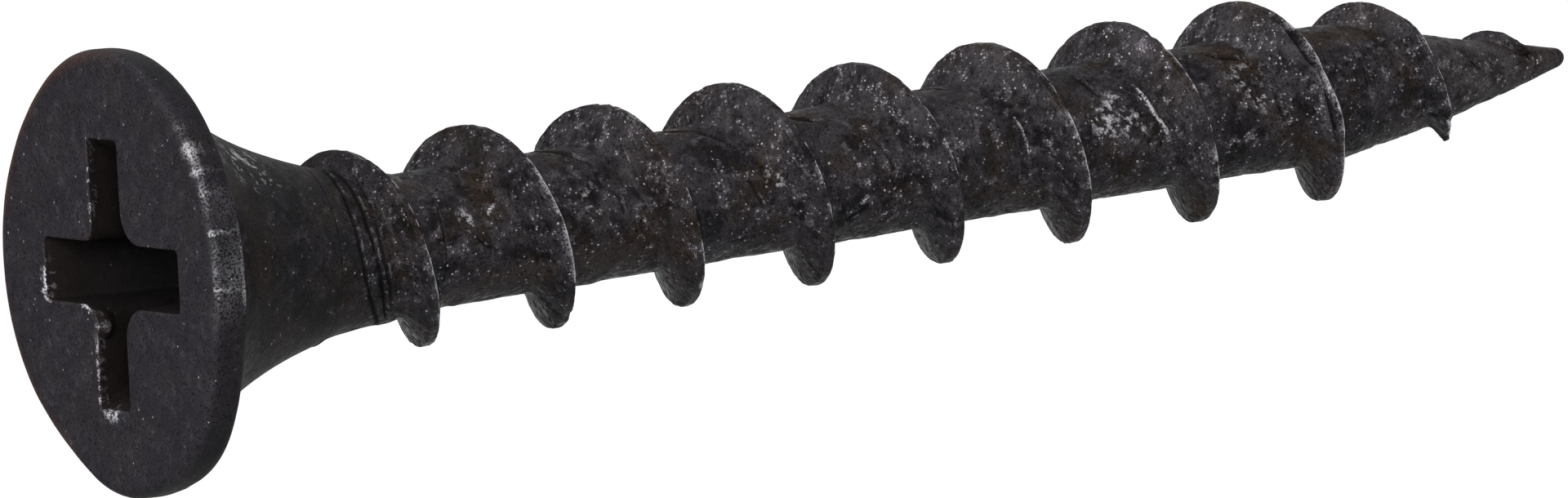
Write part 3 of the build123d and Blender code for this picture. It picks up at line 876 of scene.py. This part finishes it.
    # every crystal leans its own way; hollows and lumps of a few microns over that
    lumps = k.math("MULTIPLY", k.math("ADD", k.noise(8000.0, 3.0, 0.62), k.math("MULTIPLY", k.noise(3600.0, 2.0), 1.2)), number("grain"))
    n0 = k.bump(lumps, 17.0e-6, 1.0)
    tilt = nt.nodes.new("ShaderNodeVectorMath")
    tilt.operation = "SUBTRACT"
    k.link(c_col, tilt.inputs[0])
    tilt.inputs[1].default_value = (0.5, 0.5, 0.5)
    tilt2 = nt.nodes.new("ShaderNodeVectorMath")
    tilt2.operation = "SUBTRACT"
    k.link(b_col, tilt2.inputs[0])
    tilt2.inputs[1].default_value = (0.5, 0.5, 0.5)
    both = nt.nodes.new("ShaderNodeVectorMath")
    both.operation = "ADD"
    k.link(tilt.outputs[0], both.inputs[0])
    k.link(tilt2.outputs[0], both.inputs[1])
    amount = k.math("MULTIPLY", k.math("ADD", 0.35, k.math("MULTIPLY", cluster, 0.9)), number("lean"))
    scaled = nt.nodes.new("ShaderNodeVectorMath")
    scaled.operation = "SCALE"
    k.link(both.outputs[0], scaled.inputs[0])
    k.put(scaled.inputs["Scale"], amount)
    total = nt.nodes.new("ShaderNodeVectorMath")
    total.operation = "ADD"
    k.link(n0, total.inputs[0])
    k.link(scaled.outputs[0], total.inputs[1])
    unit = nt.nodes.new("ShaderNodeVectorMath")
    unit.operation = "NORMALIZE"
    k.link(total.outputs[0], unit.inputs[0])
    k.link(unit.outputs[0], bsdf.inputs["Normal"])
    return m, k, bsdf


face_mat, k, bsdf = phosphate("black_phosphate_head", FACE, NECK, 0.70, 1.25)
rust = k.attr("rust")
src = bsdf.inputs["Base Color"].links[0].from_socket
k.link(k.mix(k.math("MULTIPLY", rust, 0.55), src, (0.050, 0.020, 0.009)), bsdf.inputs["Base Color"])
neck_mat, _, _ = phosphate("black_phosphate_neck", NECK, ROOT, 4.30, 5.60)
root_mat, _, _ = phosphate("black_phosphate_root", ROOT, ROOT, 0, 1)
thread_mat, _, _ = phosphate("black_phosphate_thread", NECK, ROOT, 4.30, 5.60)
point_mat, _, _ = phosphate("black_phosphate_point", ROOT, TIP, 26.6, 28.6)
for ob, mat, node, slot in ((head, face_mat, "head", "head_face"), (neck, neck_mat, "neck", "neck"), (core, root_mat, "core", "thread_root"),
                            (thread, thread_mat, "thread", "thread"), (point, point_mat, "point", "point")):
    ob.data.materials.append(mat)
    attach(ob, "root")
    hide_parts(node)

# --------------------------------------------------------------------- stage
me = bpy.data.meshes.new("floor")
S, Z = 40.0, -0.12
me.from_pydata([(-S, -S, Z), (S, -S, Z), (S, S, Z), (-S, S, Z)], [], [(0, 1, 2, 3)])
floor = bpy.data.objects.new("floor", me)
bpy.context.scene.collection.objects.link(floor)
fm, nt, fb = new_material("pale_floor")
fb.inputs["Base Color"].default_value = (0.27, 0.27, 0.27, 1)
fb.inputs["Roughness"].default_value = 0.9
fb.inputs["Specular IOR Level"].default_value = 0.1
me.materials.append(fm)

world = bpy.data.worlds.new("studio")
bpy.context.scene.world = world
world.use_nodes = True
bg = world.node_tree.nodes["Background"]
bg.inputs["Color"].default_value = (1.0, 1.0, 1.0, 1)
# bright at the horizon, where the floor ends, and dim overhead
wt = world.node_tree
where = wt.nodes.new("ShaderNodeTexCoord")
parts = wt.nodes.new("ShaderNodeSeparateXYZ")
fade = wt.nodes.new("ShaderNodeMapRange")
wt.links.new(where.outputs["Generated"], parts.inputs[0])
wt.links.new(parts.outputs["Z"], fade.inputs["Value"])
fade.inputs["From Min"].default_value = 0.03
fade.inputs["From Max"].default_value = 0.12
fade.inputs["To Min"].default_value = 1.0
fade.inputs["To Max"].default_value = 0.08
wt.links.new(fade.outputs["Result"], bg.inputs["Strength"])

# camera frame in row axes
alpha, beta = math.radians(61.0035), math.radians(9.3331)
a = np.array([math.sin(alpha) * math.cos(beta), -math.sin(alpha) * math.sin(beta), math.cos(alpha)])   # to the point, in x right, y down, z away
u = np.array([0, 0, 1.0]) - a[2] * a
u /= np.linalg.norm(u)
w = np.cross(a, u)
turn = math.radians(97.4759)
X = math.cos(turn) * u + math.sin(turn) * w
Zax = -a
Y = np.cross(Zax, X)
M = np.stack([X, Y, Zax])                     # rows: row axes in camera terms
head_at = np.array([-12.4117, 0.7583, 400.0])   # centre of the head's face on the shank's axis


def to_row(v):
    return M @ np.asarray(v, float)


cam_pos = to_row(-head_at) * MM
right, down, ahead = to_row([1, 0, 0]), to_row([0, 1, 0]), to_row([0, 0, 1])
from mathutils import Matrix, Vector
cam_data = bpy.data.cameras.new("camera")
cam_data.sensor_fit = "HORIZONTAL"
cam_data.sensor_width = 36.0
cam_data.lens = 66.5363 * 400.0 * 36.0 / 1920.0
cam_data.clip_start = 0.01
cam_data.clip_end = 200.0
cam_data.dof.use_dof = False
cam = bpy.data.objects.new("camera", cam_data)
bpy.context.scene.collection.objects.link(cam)
R = Matrix(((right[0], -down[0], -ahead[0]), (right[1], -down[1], -ahead[1]), (right[2], -down[2], -ahead[2])))
cam.matrix_world = Matrix.Translation(Vector(cam_pos)) @ R.to_4x4()
bpy.context.scene.camera = cam


def sun(name, toward, strength, angle, colour=(1, 1, 1)):
    """A soft distant light; toward is the direction to it, as right, up and near in the picture."""
    v = Vector(to_row([toward[0], -toward[1], -toward[2]])).normalized()
    d = bpy.data.lights.new(name, "SUN")
    d.energy = strength
    d.angle = math.radians(angle)
    d.color = colour
    o = bpy.data.objects.new(name, d)
    o.rotation_mode = "QUATERNION"
    o.rotation_quaternion = v.to_track_quat("Z", "Y")
    bpy.context.scene.collection.objects.link(o)
    print(name, "height above floor", round(v.z, 3))
    return o


def low_from(height, up):
    """Picture direction to a light that many degrees above the floor, on the camera's side,
    turned that many degrees towards the picture's top."""
    e, g = math.radians(height), math.radians(up)
    row = np.array([math.sin(g) * math.cos(e), -math.cos(g) * math.cos(e), math.sin(e)])
    p = M.T @ row
    return (p[0], -p[1], -p[2])


sun("left", (-0.82, 0.00, 0.57), 5.0, 24)
sun("front", (-0.42, 0.12, 0.88), 3.0, 24)
sun("low_front", low_from(26, 22), 5.2, 20)
sun("upper_left", (-0.58, 0.58, 0.57), 0.5, 24)
sun("back_high", low_from(18, 118), 1.6, 30)
sun("back_low", low_from(10, -112), 0.8, 30)
sun("rim", (-0.94, 0.30, 0.17), 1.7, 24)

bpy.context.scene.view_settings.view_transform = "Standard"
bpy.context.scene.view_settings.look = "None"
bpy.context.scene.view_settings.exposure = 0.0
bpy.context.scene.view_settings.gamma = 1.0
